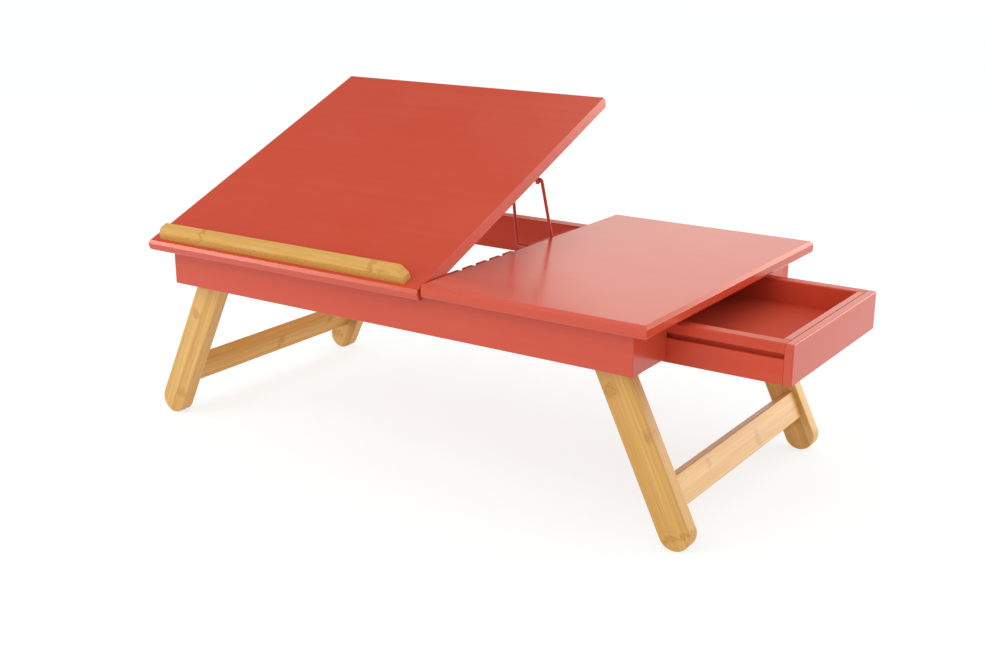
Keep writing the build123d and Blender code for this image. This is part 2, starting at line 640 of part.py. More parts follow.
# Wire prop: one bent wire, its foot across the rack, its two ends turned in as pins
PROP = Plane(
    origin=(RACK_X, FOOT_Y, FOOT_Z),
    x_dir=(1, 0, 0),
    z_dir=(0, -cos(radians(PROP_LEAN)), -sin(radians(PROP_LEAN))),
)
with BuildPart() as prop_wire:
    with BuildLine(PROP) as wire_path:
        FilletPolyline(
            (-PROP_TOP_WIDTH / 2 + PROP_PIN, PROP_LENGTH),
            (-PROP_TOP_WIDTH / 2, PROP_LENGTH),
            (-PROP_FOOT_WIDTH / 2, 0),
            (PROP_FOOT_WIDTH / 2, 0),
            (PROP_TOP_WIDTH / 2, PROP_LENGTH),
            (PROP_TOP_WIDTH / 2 - PROP_PIN, PROP_LENGTH),
            radius=WIRE_BEND_R,
        )
    with BuildSketch(Plane(origin=wire_path.line @ 0, z_dir=wire_path.line % 0)):
        Circle(WIRE_R)
    sweep()

# Drawer: grooved sides, a back and a floor between them, and a front that laps the sides' ends
FLOOR_Y0 = DRAWER_Y0 + DRAWER_SIDE_T - DRAWER_FLOOR_TONGUE
FLOOR_Y1 = DRAWER_Y1 - DRAWER_SIDE_T + DRAWER_FLOOR_TONGUE
FLOOR_X0 = DRAWER_X0 + DRAWER_BACK_T - DRAWER_FLOOR_TONGUE
FLOOR_X1 = DRAWER_X1 - DRAWER_FRONT_T + DRAWER_FLOOR_TONGUE
FLOOR_UNDER = DRAWER_FLOOR - DRAWER_FLOOR_T
FLOOR_LOW = (FLOOR_X0, FLOOR_Y0, FLOOR_UNDER)
FLOOR_HIGH = (FLOOR_X1, FLOOR_Y1, DRAWER_FLOOR)
DRAWER_LAP_X = DRAWER_X1 - DRAWER_FRONT_LAP
DRAWER_IN_Y0 = DRAWER_Y0 + DRAWER_SIDE_T
DRAWER_IN_Y1 = DRAWER_Y1 - DRAWER_SIDE_T

# Its dowels: across into the back board, along into the front's lap, under the floor and over the groove
drawer_dowel_runs = []
for z in ((DRAWER_BOTTOM + FLOOR_UNDER) / 2, (GROOVE_TOP + DRAWER_TOP) / 2):
    for joint_y, inward in ((DRAWER_IN_Y0, 1), (DRAWER_IN_Y1, -1)):
        back_x = DRAWER_X0 + DRAWER_BACK_T / 2
        side_y = joint_y - inward * DRAWER_SIDE_T / 2
        start = (back_x, joint_y - inward * DRAWER_DOWEL_GRIP, z)
        drawer_dowel_runs.append((start, (back_x, joint_y + inward * DRAWER_DOWEL_GRIP, z)))
        start = (DRAWER_LAP_X - DRAWER_DOWEL_GRIP, side_y, z)
        drawer_dowel_runs.append((start, (DRAWER_LAP_X + LAP_DOWEL_GRIP, side_y, z)))

drawer_sides = {}
for name, y, inward in (("drawer_side_front", DRAWER_Y0, 1), ("drawer_side_rear", DRAWER_Y1, -1)):
    inner = y + inward * DRAWER_SIDE_T
    groove = y + inward * GROOVE_DEPTH
    with BuildPart() as drawer_side:
        block((DRAWER_X0, min(y, inner), DRAWER_BOTTOM), (DRAWER_LAP_X, max(y, inner), DRAWER_TOP))
        fillet(drawer_side.faces().sort_by(Axis.Z)[-1].edges().filter_by(Axis.X), DRAWER_EDGE_R)
        lap_edges = drawer_side.faces().sort_by(Axis.X)[-1].edges().filter_by(Axis.Z)
        fillet(lap_edges.sort_by(Axis.Y)[0 if inward > 0 else -1], DRAWER_JOINT_R)
        block(
            (DRAWER_X0, min(y, groove), GROOVE_BOTTOM),
            (DRAWER_LAP_X, max(y, groove), GROOVE_TOP),
            Mode.SUBTRACT,
        )
        block(FLOOR_LOW, FLOOR_HIGH, Mode.SUBTRACT)
        for start, end in drawer_dowel_runs:
            rod(start, end, DOWEL_R + FIT, Mode.SUBTRACT)
    drawer_sides[name] = drawer_side

with BuildPart() as drawer_front:
    block((DRAWER_LAP_X, DRAWER_Y0, DRAWER_BOTTOM), (DRAWER_X1, DRAWER_Y1, DRAWER_TOP))
    for corner_edges in drawer_front.edges().filter_by(Axis.Z).group_by(Axis.X):
        at_face = corner_edges[0].center().X > DRAWER_LAP_X
        fillet(corner_edges, DRAWER_EDGE_R if at_face else DRAWER_JOINT_R)
    fillet(drawer_front.faces().sort_by(Axis.X)[-1].edges().sort_by(Axis.Z)[-1], DRAWER_EDGE_R)
    block(
        (DRAWER_X1 - DRAWER_FRONT_T, DRAWER_IN_Y0, DRAWER_BOTTOM),
        (DRAWER_LAP_X, DRAWER_IN_Y1, DRAWER_TOP),
    )
    fillet(drawer_front.faces().sort_by(Axis.X)[0].edges().sort_by(Axis.Z)[-1], DRAWER_EDGE_R)
    block(FLOOR_LOW, FLOOR_HIGH, Mode.SUBTRACT)
    for start, end in drawer_dowel_runs:
        rod(start, end, DOWEL_R + FIT, Mode.SUBTRACT)

with BuildPart() as drawer_back:
    block((DRAWER_X0, DRAWER_IN_Y0, DRAWER_BOTTOM), (DRAWER_X0 + DRAWER_BACK_T, DRAWER_IN_Y1, DRAWER_TOP))
    fillet(drawer_back.faces().sort_by(Axis.Z)[-1].edges().filter_by(Axis.Y), DRAWER_EDGE_R)
    block(FLOOR_LOW, FLOOR_HIGH, Mode.SUBTRACT)
    for start, end in drawer_dowel_runs:
        rod(start, end, DOWEL_R + FIT, Mode.SUBTRACT)

with BuildPart() as drawer_floor:
    block(FLOOR_LOW, FLOOR_HIGH)

with BuildPart() as drawer_dowels:
    for start, end in drawer_dowel_runs:
        rod(start, end, DOWEL_R)


def leg_point(side_x, down, out, y):
    """Point of an open leg frame: down the leg from the pivot, out from the leg's middle line."""
    x = PIVOT_X + down * sin(radians(SPLAY)) + out * cos(radians(SPLAY))
    z = PIVOT_Z - down * cos(radians(SPLAY)) + out * sin(radians(SPLAY))
    return Vector(side_x * x, y, z)


# Leg frames: two legs and a stretcher, left and right alike
leg_parts = {}
for end_name, side_x in (("left", -1), ("right", 1)):
    along = leg_point(side_x, 1, 0, 0) - leg_point(side_x, 0, 0, 0)
    dowel_out = (STRETCHER_OUTER + STRETCHER_INNER) / 2
    stretcher_dowel_runs = []
    for side_y in (-1, 1):
        for down in (STRETCHER_START + STRETCHER_W / 4, STRETCHER_END - STRETCHER_W / 4):
            start = leg_point(side_x, down, dowel_out, side_y * (LEG_IN + DOWEL_GRIP))
            end = leg_point(side_x, down, dowel_out, side_y * (LEG_IN - DOWEL_GRIP))
            stretcher_dowel_runs.append((start, end))

    for leg_name, side_y in (("front", -1), ("rear", 1)):
        with BuildPart() as leg:
            face_y = min(side_y * LEG_OUT, side_y * LEG_IN)
            with BuildSketch(Plane(origin=leg_point(side_x, 0, 0, face_y), x_dir=along, z_dir=(0, 1, 0))):
                with Locations((LEG_REACH / 2, 0)):
                    SlotCenterToCenter(LEG_REACH, LEG_W)
            extrude(amount=LEG_T)
            fillet(leg.faces().filter_by(Axis.Y).edges(), LEG_EDGE_R)
            rod(
                leg_point(side_x, 0, 0, side_y * LEG_OUT),
                leg_point(side_x, 0, 0, side_y * LEG_IN),
                PIVOT_R + PIVOT_PLAY,
                Mode.SUBTRACT,
            )
            for start, end in stretcher_dowel_runs:
                rod(start, end, DOWEL_R + FIT, Mode.SUBTRACT)
        leg_parts[f"{end_name}_leg_{leg_name}"] = leg

    with BuildPart() as stretcher:
        middle = leg_point(side_x, (STRETCHER_START + STRETCHER_END) / 2, dowel_out, -LEG_IN)
        with BuildSketch(Plane(origin=middle, x_dir=along, z_dir=(0, 1, 0))):
            Rectangle(STRETCHER_W, STRETCHER_T)
        extrude(amount=2 * LEG_IN)
        break_edges(stretcher, Axis.Y, STRETCHER_EDGE_R)
        for start, end in stretcher_dowel_runs:
            rod(start, end, DOWEL_R + FIT, Mode.SUBTRACT)
    leg_parts[f"{end_name}_stretcher"] = stretcher

    with BuildPart() as stretcher_dowels:
        for start, end in stretcher_dowel_runs:
            rod(start, end, DOWEL_R)
    leg_parts[f"{end_name}_stretcher_dowels"] = stretcher_dowels

# Leg pivots: a socket-head screw through the leg into a threaded insert, with a washer between
pivot_screws = {}
for side_x, side_y in pivots:
    end_name = "left" if side_x < 0 else "right"
    leg_name = "front" if side_y < 0 else "rear"
    head_inset = LEG_GAP + LEG_T + LEG_STOP_GAP
    with BuildPart() as pivot_screw:
        rod(
            pivot_point(side_x, side_y, -PIVOT_GRIP),
            pivot_point(side_x, side_y, head_inset + PIVOT_HEAD_T),
            PIVOT_R,
        )
        rod(
            pivot_point(side_x, side_y, head_inset),
            pivot_point(side_x, side_y, head_inset + PIVOT_HEAD_T),
            PIVOT_HEAD_R,
        )
        socket = pivot_point(side_x, side_y, head_inset + PIVOT_HEAD_T)
        with BuildSketch(Plane(origin=socket, z_dir=(0, side_y, 0))):
            RegularPolygon(PIVOT_SOCKET_R, 6)
        extrude(amount=PIVOT_SOCKET_DEPTH, mode=Mode.SUBTRACT)
    pivot_screws[f"{end_name}_pivot_{leg_name}"] = pivot_screw

with BuildPart() as pivot_washers:
    for side_x, side_y in pivots:
        face, end = pivot_point(side_x, side_y, 0), pivot_point(side_x, side_y, WASHER_T)
        rod(face, end, WASHER_R)
        rod(face, end, PIVOT_R + FIT, Mode.SUBTRACT)

with BuildPart() as pivot_inserts:
    for side_x, side_y in pivots:
        face, end = pivot_point(side_x, side_y, 0), pivot_point(side_x, side_y, -PIVOT_GRIP)
        rod(face, end, INSERT_R)
        rod(face, end, PIVOT_R + FIT, Mode.SUBTRACT)

pieces = {
    **rails,
    "left_rail": left_rail,
    **right_ends,
    "cross_rail": cross_rail,
    "prop_rack": prop_rack,
    "fixed_top": fixed_top,
    **guides,
    **runners,
    "drawer_catch": drawer_catch,
    "catch_screws": catch_screws,
    "top_screws": top_screws,
    "frame_dowels": frame_dowels,
    "top_dowels": top_dowels,
    **rail_leaves,
    **panel_leaves,
    **hinge_pins,
    "rail_hinge_screws": rail_hinge_screws,
    "panel_hinge_screws": panel_hinge_screws,
    "tilt_top": tilt_top,
    "laptop_stop": laptop_stop,
    "laptop_stop_screws": laptop_stop_screws,
    **hooks,
    "prop_hook_screws": prop_hook_screws,
    "prop_wire": prop_wire,
    **drawer_sides,
    "drawer_front": drawer_front,
    "drawer_back": drawer_back,
    "drawer_floor": drawer_floor,
    "drawer_dowels": drawer_dowels,
    **leg_parts,
    **pivot_screws,
    "pivot_washers": pivot_washers,
    "pivot_inserts": pivot_inserts,
}

os.makedirs("parts", exist_ok=True)
for name, piece in pieces.items():
    piece.part.label = name
    export_step(piece.part, f"parts/{name}.step")
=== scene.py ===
import bpy
import bmesh
import json
import math
from mathutils import Euler, Matrix, Vector


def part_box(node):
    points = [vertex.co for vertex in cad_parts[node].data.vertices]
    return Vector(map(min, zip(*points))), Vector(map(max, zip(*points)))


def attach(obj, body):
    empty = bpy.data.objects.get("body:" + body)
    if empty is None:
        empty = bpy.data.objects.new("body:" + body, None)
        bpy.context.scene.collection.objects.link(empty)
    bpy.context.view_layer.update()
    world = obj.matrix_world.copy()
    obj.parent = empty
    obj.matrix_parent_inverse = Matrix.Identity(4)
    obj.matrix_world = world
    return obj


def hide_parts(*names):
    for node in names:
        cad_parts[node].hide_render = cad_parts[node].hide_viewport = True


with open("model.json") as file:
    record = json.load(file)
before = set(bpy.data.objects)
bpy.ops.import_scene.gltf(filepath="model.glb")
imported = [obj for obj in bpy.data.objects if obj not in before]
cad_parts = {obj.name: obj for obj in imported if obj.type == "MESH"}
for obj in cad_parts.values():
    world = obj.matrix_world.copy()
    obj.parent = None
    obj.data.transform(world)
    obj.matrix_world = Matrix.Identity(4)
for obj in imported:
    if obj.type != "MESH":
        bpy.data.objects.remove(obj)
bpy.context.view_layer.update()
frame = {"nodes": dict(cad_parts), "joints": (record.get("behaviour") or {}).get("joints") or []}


# Apron rails: solid boards, planed, doweled at the corners and sprayed with coral-red lacquer.
# The wood's grain telegraphs through the film as faint lengthwise ripples and the spray leaves
# an orange peel, so the satin gloss breaks up softly.
MM = 0.001
LACQUER_RED = "#CC4B34"
LACQUER_PALE = "#CE4F39"
LACQUER_IOR = 1.5
LACQUER_ROUGHNESS = 0.2
LACQUER_ROUGHNESS_SWING = 0.04
LACQUER_CLOUD_SIZE = 70.0
# Real ripples are 1 to 3 mm wide and a real peel 1 to 2 mm: both are drawn coarser, so that they show.
LACQUER_GRAIN_LENGTH = 160.0
LACQUER_GRAIN_WIDTH = 8.0
LACQUER_GRAIN_RELIEF = 0.006
LACQUER_PEEL_SIZE = 6.0
LACQUER_PEEL_RELIEF = 0.003
# Most of a noise lies between the first two of these values, and of two noises' product between the others.
NOISE_LOW = 0.3
NOISE_HIGH = 0.7
PRODUCT_LOW = 0.12
PRODUCT_HIGH = 0.42
nodes = frame["nodes"]


def linear(hex_colour):
    """sRGB hex to the linear RGBA that Blender's sockets take."""
    values = [int(hex_colour[i:i + 2], 16) / 255 for i in (1, 3, 5)]
    values = [v / 12.92 if v <= 0.04045 else ((v + 0.055) / 1.055) ** 2.4 for v in values]
    return (*values, 1.0)


def add(tree, kind, inputs=None, **settings):
    """One node, with its settings and with values or links for its inputs. Sockets that share a name
    go by number: in a Mix, 0 is the share, 2 and 3 are numbers, 6 and 7 colours, and output 2 a colour."""
    node = tree.nodes.new(kind)
    for key, value in settings.items():
        setattr(node, key, value)
    for key, value in (inputs or {}).items():
        if isinstance(value, bpy.types.NodeSocket):
            tree.links.new(value, node.inputs[key])
        else:
            node.inputs[key].default_value = value
    return node


def new_material(name, colour, **sockets):
    """A material, its node tree and its Principled shader with some sockets set."""
    material = bpy.data.materials.new(name)
    material.use_nodes = True
    shader = material.node_tree.nodes["Principled BSDF"]
    shader.inputs["Base Color"].default_value = linear(colour)
    for socket, value in sockets.items():
        shader.inputs[socket].default_value = value
    return material, material.node_tree, shader


def paint(material, *names):
    """Puts a material on CAD nodes."""
    for name in names:
        mesh = nodes[name].data
        mesh.materials.clear()
        mesh.materials.append(material)


def per_mm(size):
    """Texture frequency in object units for a pattern of a size in millimetres."""
    return 1.0 / (size * MM)


def coral_lacquer(name, grain, roughness=LACQUER_ROUGHNESS, ior=LACQUER_IOR):
    """Sprayed lacquer over wood whose grain runs along X, Y or Z. It gives the eye an almost even
    coral red under a satin gloss that ripples with the grain."""
    material, tree, shader = new_material(name, LACQUER_RED, IOR=ior)
    coords = add(tree, "ShaderNodeTexCoord").outputs["Object"]
    stretch = [per_mm(LACQUER_GRAIN_WIDTH)] * 3
    stretch["XYZ".index(grain)] = per_mm(LACQUER_GRAIN_LENGTH)
    along = add(tree, "ShaderNodeMapping", {"Vector": coords, "Scale": stretch})
    ripple = add(tree, "ShaderNodeTexNoise",
                 {"Vector": along.outputs[0], "Scale": 1.0, "Detail": 1.0})
    cloud = add(tree, "ShaderNodeTexNoise",
                {"Vector": coords, "Scale": per_mm(LACQUER_CLOUD_SIZE), "Detail": 2.0})
    peel = add(tree, "ShaderNodeTexNoise",
               {"Vector": coords, "Scale": per_mm(LACQUER_PEEL_SIZE), "Detail": 1.0})
    blend = add(tree, "ShaderNodeMath",
                {0: ripple.outputs[0], 1: cloud.outputs[0]}, operation="MULTIPLY")
    share = add(tree, "ShaderNodeMapRange",
                {"Value": blend.outputs[0], "From Min": PRODUCT_LOW, "From Max": PRODUCT_HIGH})
    colour = add(tree, "ShaderNodeMix",
                 {0: share.outputs[0], 6: linear(LACQUER_RED), 7: linear(LACQUER_PALE)}, data_type="RGBA")
    tree.links.new(colour.outputs[2], shader.inputs["Base Color"])
    gloss = add(tree, "ShaderNodeMapRange", {
        "Value": cloud.outputs[0], "From Min": NOISE_LOW, "From Max": NOISE_HIGH,
        "To Min": roughness - LACQUER_ROUGHNESS_SWING / 2,
        "To Max": roughness + LACQUER_ROUGHNESS_SWING / 2,
    })
    tree.links.new(gloss.outputs[0], shader.inputs["Roughness"])
    rippled = add(tree, "ShaderNodeBump",
                  {"Height": ripple.outputs[0], "Strength": 1.0, "Distance": LACQUER_GRAIN_RELIEF * MM})
    peeled = add(tree, "ShaderNodeBump", {
        "Height": peel.outputs[0], "Strength": 1.0, "Distance": LACQUER_PEEL_RELIEF * MM,
        "Normal": rippled.outputs[0],
    })
    tree.links.new(peeled.outputs[0], shader.inputs["Normal"])
    return material


lacquer_long = coral_lacquer("coral_lacquer_long_grain", "X")
lacquer_cross = coral_lacquer("coral_lacquer_cross_grain", "Y")
paint(lacquer_long, "front_rail")
paint(lacquer_cross, "left_rail", "right_end_front", "right_end_rear")


# Back and inner boards: the back rail has one coat less and a softer shine. The cross rail, the notched
# rack, the drawer's guides and its catch get one thin coat, which dries dull. The runner strips are waxed
# beech and the dowels birch, both bare.
SOFT_ROUGHNESS = 0.32
SOFT_IOR = 1.33
THIN_ROUGHNESS = 0.6
THIN_IOR = 1.25
BEECH = "#D9B98A"
BEECH_DARK = "#BE9863"
BEECH_FLECK_LENGTH = 6.0
BEECH_FLECK_WIDTH = 0.8
BEECH_ROUGHNESS = 0.55


def bare_wood(name, grain):
    """Planed pale wood. It gives the eye short darker flecks along one axis and a dull surface."""
    material, tree, shader = new_material(name, BEECH, Roughness=BEECH_ROUGHNESS)
    coords = add(tree, "ShaderNodeTexCoord").outputs["Object"]
    stretch = [per_mm(BEECH_FLECK_WIDTH)] * 3
    stretch["XYZ".index(grain)] = per_mm(BEECH_FLECK_LENGTH)
    along = add(tree, "ShaderNodeMapping", {"Vector": coords, "Scale": stretch})
    fleck = add(tree, "ShaderNodeTexNoise", {"Vector": along.outputs[0], "Scale": 1.0, "Detail": 4.0})
    colour = add(tree, "ShaderNodeMix",
                 {0: fleck.outputs[0], 6: linear(BEECH_DARK), 7: linear(BEECH)}, data_type="RGBA")
    tree.links.new(colour.outputs[2], shader.inputs["Base Color"])
    return material


lacquer_soft = coral_lacquer("soft_coral_lacquer_long_grain", "X", SOFT_ROUGHNESS, SOFT_IOR)
thin_long = coral_lacquer("thin_coral_lacquer_long_grain", "X", THIN_ROUGHNESS, THIN_IOR)
thin_cross = coral_lacquer("thin_coral_lacquer_cross_grain", "Y", THIN_ROUGHNESS, THIN_IOR)
paint(lacquer_soft, "back_rail")
paint(thin_cross, "cross_rail", "prop_rack", "drawer_catch")
paint(thin_long, "drawer_guide_front", "drawer_guide_rear")
paint(bare_wood("waxed_beech", "X"), "drawer_runner_front", "drawer_runner_rear")
paint(bare_wood("birch_dowel", "Y"), "frame_dowels", "top_dowels", "drawer_dowels",
      "left_stretcher_dowels", "right_stretcher_dowels")


# Top: two lacquered boards, grain along the table, bevelled above and rounded below all round but at
# the seam. The right one is fixed over the drawer, the left one tilts on hinges along its front edge.
paint(lacquer_long, "fixed_top", "tilt_top")


# Drawer: a lacquered box, its sides grooved outside for the runners, its front lapping their ends.
# The sides have the softer shine, and the floor and the back the thin coat.
paint(lacquer_soft, "drawer_side_front", "drawer_side_rear")
paint(lacquer_cross, "drawer_front")
paint(thin_long, "drawer_floor")
paint(thin_cross, "drawer_back")


# Hinges and leg pivots: zinc-plated steel, stamped or turned. The leg pivots run in turned brass
# inserts in the rails. The plating's crystals are drawn coarser than real ones, so that they show.
ZINC = "#B9BBBE"
BRASS = "#C9A255"
PLATED_GRAIN = 0.9
PLATED_GLOSSY = 0.28
PLATED_DULL = 0.46


def plated_metal(name, colour):
    """Bare metal. It gives the eye a grey or yellow mirror that is dulled unevenly by a fine grain."""
    material, tree, shader = new_material(name, colour, Metallic=1.0)
    coords = add(tree, "ShaderNodeTexCoord").outputs["Object"]
    spangle = add(tree, "ShaderNodeTexNoise",
                  {"Vector": coords, "Scale": per_mm(PLATED_GRAIN), "Detail": 2.0})
    gloss = add(tree, "ShaderNodeMapRange", {
        "Value": spangle.outputs[0], "From Min": NOISE_LOW, "From Max": NOISE_HIGH,
        "To Min": PLATED_GLOSSY, "To Max": PLATED_DULL,
    })
    tree.links.new(gloss.outputs[0], shader.inputs["Roughness"])
    return material


zinc = plated_metal("zinc_plated_steel", ZINC)
paint(zinc, "rail_hinge_leaf_left", "rail_hinge_leaf_right", "panel_hinge_leaf_left",
      "panel_hinge_leaf_right", "hinge_pin_left", "hinge_pin_right", "pivot_washers",
      "left_pivot_front", "left_pivot_rear", "right_pivot_front", "right_pivot_rear")
paint(plated_metal("turned_brass", BRASS), "pivot_inserts")


# Screws: countersunk, cross-headed, zinc plated. Long ones go up through the guides, the cross rail and
# the catch into the fixed top, and through the panel into the stop; short ones hold hinges and hooks.
LONG_SCREW = {"Head radius": 3.8 * MM, "Head depth": 2.4 * MM, "Shank radius": 2.0 * MM}
SHORT_SCREW = {"Head radius": 2.6 * MM, "Head depth": 1.2 * MM, "Shank radius": 1.4 * MM}
# The recess in shares of the head: its arms' length and width of the radius, its depth of the depth.
CROSS_LENGTH = 1.25
CROSS_WIDTH = 0.28
CROSS_DEPTH = 0.55
SCREW_SIDES = 32
UNIT_SHANK = 1.0
WELD = 0.001 * MM

joints = {joint["name"]: joint for joint in frame["joints"]}
tilt = math.radians(-joints["tilt_hinge"]["range_deg"][0])
panel_out = Vector((0, -math.sin(tilt), math.cos(tilt)))
upwards = Vector((0, 0, 1))

screw_tree = bpy.data.node_groups.new("cross_head_screws", "GeometryNodeTree")
screw_tree.interface.new_socket("Points", in_out="INPUT", socket_type="NodeSocketGeometry")
for label in LONG_SCREW:
    screw_tree.interface.new_socket(label, in_out="INPUT", socket_type="NodeSocketFloat")
screw_tree.interface.new_socket("Metal", in_out="INPUT", socket_type="NodeSocketMaterial")
screw_tree.interface.new_socket("Screws", in_out="OUTPUT", socket_type="NodeSocketGeometry")
given = add(screw_tree, "NodeGroupInput").outputs
head = add(screw_tree, "GeometryNodeMeshCone", {
    "Vertices": SCREW_SIDES, "Radius Bottom": given["Head radius"], "Radius Top": given["Shank radius"],
    "Depth": given["Head depth"],
})
arm_length = add(screw_tree, "ShaderNodeMath",
                 {0: given["Head radius"], 1: CROSS_LENGTH}, operation="MULTIPLY")
arm_width = add(screw_tree, "ShaderNodeMath",
                {0: given["Head radius"], 1: CROSS_WIDTH}, operation="MULTIPLY")
arm_depth = add(screw_tree, "ShaderNodeMath",
                {0: given["Head depth"], 1: 2 * CROSS_DEPTH}, operation="MULTIPLY")
first_arm = add(screw_tree, "ShaderNodeCombineXYZ",
                {0: arm_length.outputs[0], 1: arm_width.outputs[0], 2: arm_depth.outputs[0]})
second_arm = add(screw_tree, "ShaderNodeCombineXYZ",
                 {0: arm_width.outputs[0], 1: arm_length.outputs[0], 2: arm_depth.outputs[0]})
first_slot = add(screw_tree, "GeometryNodeMeshCube", {"Size": first_arm.outputs[0]})
second_slot = add(screw_tree, "GeometryNodeMeshCube", {"Size": second_arm.outputs[0]})
half_cut = add(screw_tree, "GeometryNodeMeshBoolean",
               {"Mesh 1": head.outputs["Mesh"], "Mesh 2": first_slot.outputs["Mesh"]},
               operation="DIFFERENCE")
slotted = add(screw_tree, "GeometryNodeMeshBoolean",
              {"Mesh 1": half_cut.outputs["Mesh"], "Mesh 2": second_slot.outputs["Mesh"]},
              operation="DIFFERENCE")
driven = add(screw_tree, "GeometryNodeInputNamedAttribute", {"Name": "driven"}, data_type="FLOAT_VECTOR")
turned = add(screw_tree, "FunctionNodeAlignRotationToVector", {"Vector": driven.outputs[0]}, axis="Z")
heads = add(screw_tree, "GeometryNodeInstanceOnPoints", {
    "Points": given["Points"], "Instance": slotted.outputs["Mesh"], "Rotation": turned.outputs[0],
})
shank = add(screw_tree, "GeometryNodeMeshCylinder",
            {"Vertices": SCREW_SIDES, "Radius": given["Shank radius"], "Depth": UNIT_SHANK})
from_seat = add(screw_tree, "GeometryNodeTransform",
                {"Geometry": shank.outputs["Mesh"], "Translation": (0, 0, UNIT_SHANK / 2)})
reach = add(screw_tree, "GeometryNodeInputNamedAttribute", {"Name": "reach"}, data_type="FLOAT")
below_head = add(screw_tree, "ShaderNodeMath",
                 {0: reach.outputs[0], 1: given["Head depth"]}, operation="SUBTRACT")
shank_size = add(screw_tree, "ShaderNodeCombineXYZ", {0: 1.0, 1: 1.0, 2: below_head.outputs[0]})
sunk = add(screw_tree, "ShaderNodeVectorMath",
           {0: driven.outputs[0], "Scale": given["Head depth"]}, operation="SCALE")
seats = add(screw_tree, "GeometryNodeSetPosition",
            {"Geometry": given["Points"], "Offset": sunk.outputs[0]})
shanks = add(screw_tree, "GeometryNodeInstanceOnPoints", {
    "Points": seats.outputs[0], "Instance": from_seat.outputs[0], "Rotation": turned.outputs[0],
    "Scale": shank_size.outputs[0],
})
both = add(screw_tree, "GeometryNodeJoinGeometry", {0: heads.outputs[0]})
screw_tree.links.new(shanks.outputs[0], both.inputs[0])
solid = add(screw_tree, "GeometryNodeRealizeInstances", {0: both.outputs[0]})
plated = add(screw_tree, "GeometryNodeSetMaterial",
             {"Geometry": solid.outputs[0], "Material": given["Metal"]})
add(screw_tree, "NodeGroupOutput", {"Screws": plated.outputs[0]})


def screws_of(node, into):
    """Head point and length of each screw in a CAD node, all driven in one direction."""
    shape = bmesh.new()
    shape.from_mesh(nodes[node].data)
    bmesh.ops.remove_doubles(shape, verts=shape.verts, dist=WELD)
    found = []
    for start in shape.verts:
        if start.tag:
            continue
        start.tag = True
        island = [start]
        for vertex in island:
            for edge in vertex.link_edges:
                other = edge.other_vert(vertex)
                if not other.tag:
                    other.tag = True
                    island.append(other)
        depths = [vertex.co.dot(into) for vertex in island]
        top = [vertex.co for vertex, depth in zip(island, depths) if depth < min(depths) + WELD]
        found.append((sum(top, Vector()) / len(top), max(depths) - min(depths)))
    shape.free()
    return found


def drive_screws(name, body, sizes, into, *replaced):
    """One mesh of screws on a body, in place of the CAD's plain ones."""
    screws = [screw for node in replaced for screw in screws_of(node, into)]
    mesh = bpy.data.meshes.new(name)
    mesh.from_pydata([place for place, _ in screws], [], [])
    ways = mesh.attributes.new("driven", "FLOAT_VECTOR", "POINT")
    ways.data.foreach_set("vector", list(into) * len(screws))
    lengths = mesh.attributes.new("reach", "FLOAT", "POINT")
    lengths.data.foreach_set("value", [length for _, length in screws])
    piece = bpy.data.objects.new(name, mesh)
    bpy.context.scene.collection.objects.link(piece)
    modifier = piece.modifiers.new("screws", "NODES")
    modifier.node_group = screw_tree
    settings = {**sizes, "Metal": zinc}
    for item in screw_tree.interface.items_tree:
        if item.name in settings:
            modifier[item.identifier] = settings[item.name]
    finished = piece.evaluated_get(bpy.context.evaluated_depsgraph_get())
    piece.data = bpy.data.meshes.new_from_object(finished)
    piece.modifiers.remove(modifier)
    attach(piece, body)
    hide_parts(*replaced)


drive_screws("fixed_top_screws", "frame", LONG_SCREW, upwards, "top_screws", "catch_screws")
drive_screws("rail_leaf_screws", "frame", SHORT_SCREW, -upwards, "rail_hinge_screws")
drive_screws("stop_screws", "tilt_panel", LONG_SCREW, panel_out, "laptop_stop_screws")
drive_screws("panel_leaf_and_hook_screws", "tilt_panel", SHORT_SCREW, panel_out,
             "panel_hinge_screws", "prop_hook_screws")


# Prop: one bent steel wire and the two hooks that hold it under the panel, dipped in coral enamel
# like the table. The enamel sags a little as it dries, so its red comes out uneven.
ENAMEL_RED = "#C53F28"
ENAMEL_ROUGHNESS = 0.3
ENAMEL_SAG = 4.0
enamel, enamel_tree, enamel_shader = new_material("dipped_coral_enamel", ENAMEL_RED,
                                                  IOR=LACQUER_IOR, Roughness=ENAMEL_ROUGHNESS)
enamel_coords = add(enamel_tree, "ShaderNodeTexCoord").outputs["Object"]
enamel_sag = add(enamel_tree, "ShaderNodeTexNoise",
                 {"Vector": enamel_coords, "Scale": per_mm(ENAMEL_SAG)})
enamel_colour = add(enamel_tree, "ShaderNodeMix",
                    {0: enamel_sag.outputs[0], 6: linear(ENAMEL_RED), 7: linear(LACQUER_PALE)},
                    data_type="RGBA")
enamel_tree.links.new(enamel_colour.outputs[2], enamel_shader.inputs["Base Color"])
paint(enamel, "prop_wire", "prop_hook_left", "prop_hook_right")


